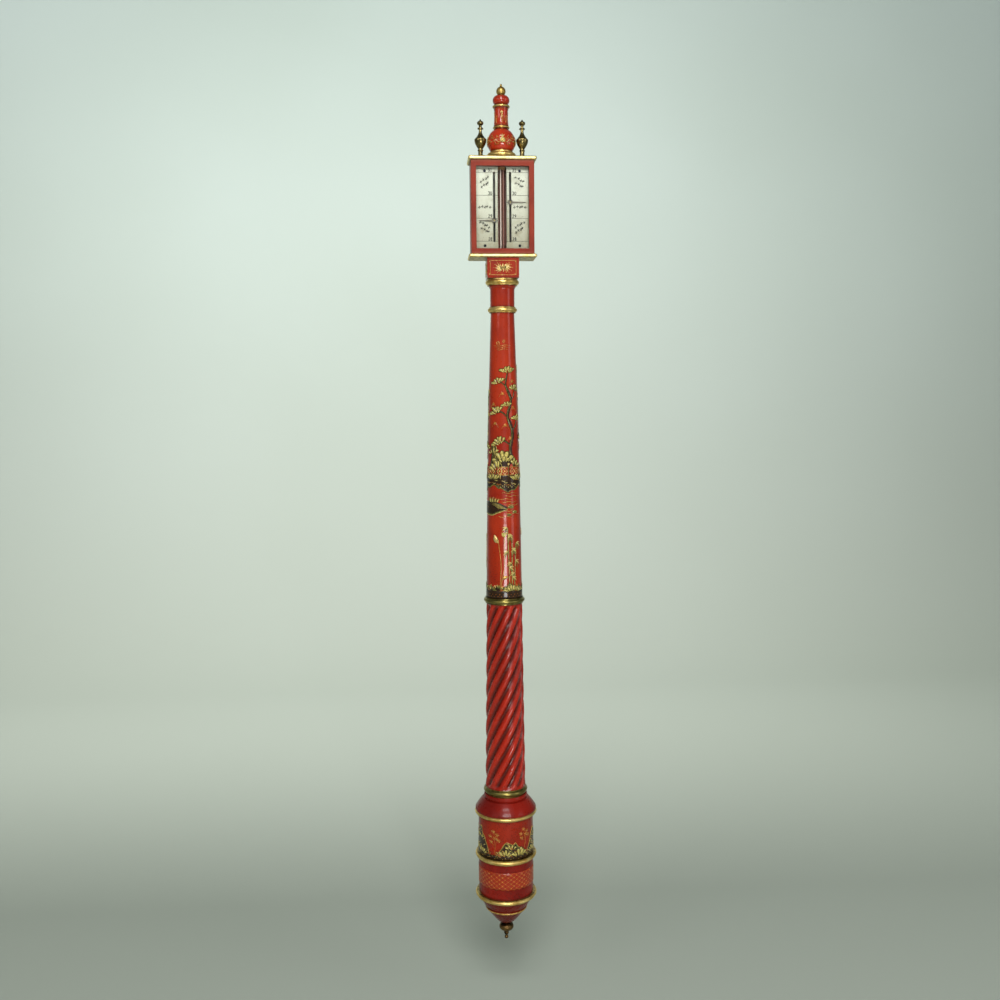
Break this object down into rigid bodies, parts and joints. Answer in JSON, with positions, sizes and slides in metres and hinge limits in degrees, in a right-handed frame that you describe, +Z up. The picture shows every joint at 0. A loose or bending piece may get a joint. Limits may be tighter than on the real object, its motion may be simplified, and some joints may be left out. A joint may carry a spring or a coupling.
{
  "type": "barometer",
  "caption": "Pillar barometer with a glazed hood, scale plates, sliding pointers, a turned and twisted column and a mercury cistern in its foot, hung on a wall.",
  "frame": {"origin": "centre of the hanging hole, on the wall side of the hanging strap", "axes": "+Z up along the column, +Y towards the wall, front facing -Y"},
  "size_m": [0.0772, 0.0755, 1.0066],
  "materials": {
    "red_japan": "japanned, scarlet lacquer with gold painting",
    "gilt_wood": "water gilt, slightly rubbed",
    "old_brass": "lacquered brass, darkened in the hollows",
    "bright_brass": "satin turned brass",
    "silvered_brass": "silvered, matt, engraved and waxed",
    "blued_steel": "blued, satin",
    "steel": "threaded, oiled",
    "tube_glass": "drawn glass",
    "window_glass": "polished pane",
    "mercury": "liquid metal",
    "maroon_board": "stained dark maroon",
    "carcass_wood": "planed oak",
    "boxwood": "turned and waxed",
    "cork": "cut cork",
    "kid_leather": "soft kid",
    "linen_thread": "waxed thread"
  },
  "bodies": {
    "case_and_column": {"hanging_strap": "bright_brass", "strap_screws": "bright_brass", "top_moulding": "gilt_wood", "hood_case": "red_japan", "front_frame": "red_japan", "window_glass": "window_glass", "glazing_bead": "maroon_board", "backing_board": "maroon_board", "top_block": "carcass_wood", "bottom_block": "carcass_wood", "bottom_moulding": "gilt_wood", "left_scale_plate": "silvered_brass", "right_scale_plate": "silvered_brass", "plate_screws": "blued_steel", "key_bushes": "old_brass", "screw_footsteps": "bright_brass", "finial_rod": "steel", "ball_ring": "gilt_wood", "finial_ball": "red_japan", "ball_top_ring": "gilt_wood", "finial_neck": "red_japan", "neck_top_ring": "gilt_wood", "finial_bun": "red_japan", "finial_tip": "gilt_wood", "barometer_tube": "tube_glass", "mercury_column": "mercury", "tube_top_cork": "cork", "tube_neck_cork": "cork", "neck_block": "red_japan", "neck_ring": "gilt_wood", "upper_column": "red_japan", "column_ring": "gilt_wood", "tapered_column": "red_japan", "middle_ring": "old_brass", "twist_column": "red_japan", "twist_ring": "old_brass", "shoulder": "red_japan", "shoulder_ring": "gilt_wood", "upper_drum": "red_japan", "drum_ring": "gilt_wood", "lower_drum": "red_japan", "base_ring": "gilt_wood", "base_bowl": "red_japan", "cistern_cup": "boxwood", "cistern_lid": "boxwood", "cistern_cork": "cork", "mercury_pool": "mercury", "leather_bag": "kid_leather", "bag_binding": "linen_thread"},
    "left_key": {"left_lead_screw": "steel", "left_urn_key": "old_brass"},
    "right_key": {"right_lead_screw": "steel", "right_urn_key": "old_brass"},
    "left_slider": {"left_carriage": "bright_brass", "left_pointer": "blued_steel"},
    "right_slider": {"right_carriage": "bright_brass", "right_pointer": "blued_steel"},
    "knob": {"portable_screw": "steel", "bottom_knob": "old_brass"},
    "pad": {"pressure_pad": "boxwood"}
  },
  "joints": [
    {"name": "left_key_turn", "type": "hinge", "parent": "case_and_column", "child": "left_key", "pos_m": [-0.02365, -0.0385, -0.012], "axis": [0, 0, 1], "range_deg": [-4440, 1910]},
    {"name": "left_pointer_slide", "type": "slide", "parent": "case_and_column", "child": "left_slider", "axis": [0, 0, 1], "range_m": [-0.0212, 0.0493]},
    {"name": "right_key_turn", "type": "hinge", "parent": "case_and_column", "child": "right_key", "pos_m": [0.02365, -0.0385, -0.012], "axis": [0, 0, 1], "range_deg": [-2640, 3740]},
    {"name": "right_pointer_slide", "type": "slide", "parent": "case_and_column", "child": "right_slider", "axis": [0, 0, 1], "range_m": [-0.0415, 0.0293]},
    {"name": "knob_turn", "type": "hinge", "parent": "case_and_column", "child": "knob", "pos_m": [0, -0.0385, -0.915], "axis": [0, 0, 1], "range_deg": [0, 1531]},
    {"name": "pad_slide", "type": "slide", "parent": "case_and_column", "child": "pad", "axis": [0, 0, 1], "range_m": [0, 0.0085]}
  ],
  "couplings": [
    {"joint": "left_key_turn", "follows": "left_pointer_slide", "rad_per_m": -1570.8},
    {"joint": "right_key_turn", "follows": "right_pointer_slide", "rad_per_m": -1570.8},
    {"joint": "knob_turn", "follows": "pad_slide", "rad_per_m": 3141.6}
  ]
}
